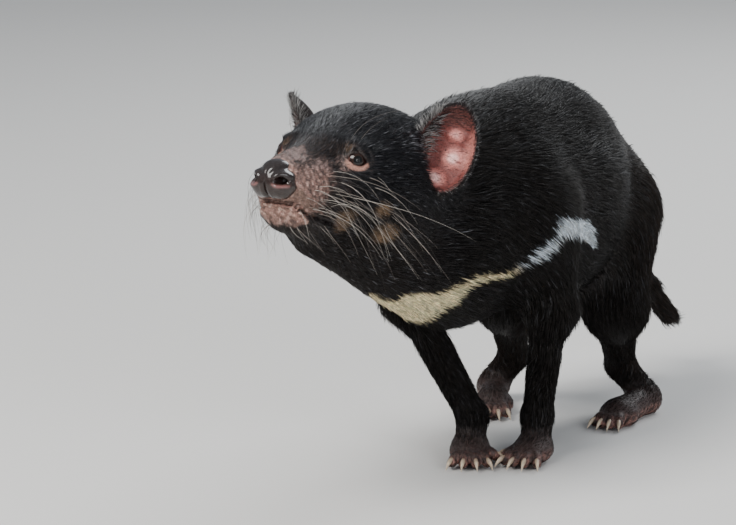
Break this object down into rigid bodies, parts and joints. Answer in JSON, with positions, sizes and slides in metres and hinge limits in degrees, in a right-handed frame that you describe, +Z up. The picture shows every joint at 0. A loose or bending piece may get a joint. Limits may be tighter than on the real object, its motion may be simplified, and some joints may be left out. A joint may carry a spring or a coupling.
{
  "type": "tasmanian devil",
  "caption": "Tasmanian devil, life-size still model, standing on all fours with its head raised and turned to its right, mouth closed and tail hanging",
  "frame": {"origin": "on the floor, under the middle of the animal's bounding box", "axes": "+Z is up; the animal stands facing -Y with its tail towards +Y, and its left side is +X"},
  "size_m": [0.2164, 0.584, 0.2852],
  "materials": {
    "coat": "short dense brown-black fur with a cream crescent on the chest",
    "skin": "thin pinkish brown skin with sparse hair",
    "nose": "dark, moist and finely pebbled",
    "eye": "dark brown, wet and shiny"
  },
  "bodies": {
    "root": {"head": "coat", "lower_jaw": "coat", "nose": "nose", "eye_left": "eye", "eye_right": "eye", "ear_left": "skin", "ear_right": "skin", "neck": "coat", "torso": "coat", "tail": "coat", "foreleg_left": "coat", "foreleg_right": "coat", "forepaw_left": "skin", "forepaw_right": "skin", "hindleg_left": "coat", "hindleg_right": "coat", "hindfoot_left": "skin", "hindfoot_right": "skin"}
  },
  "joints": []
}
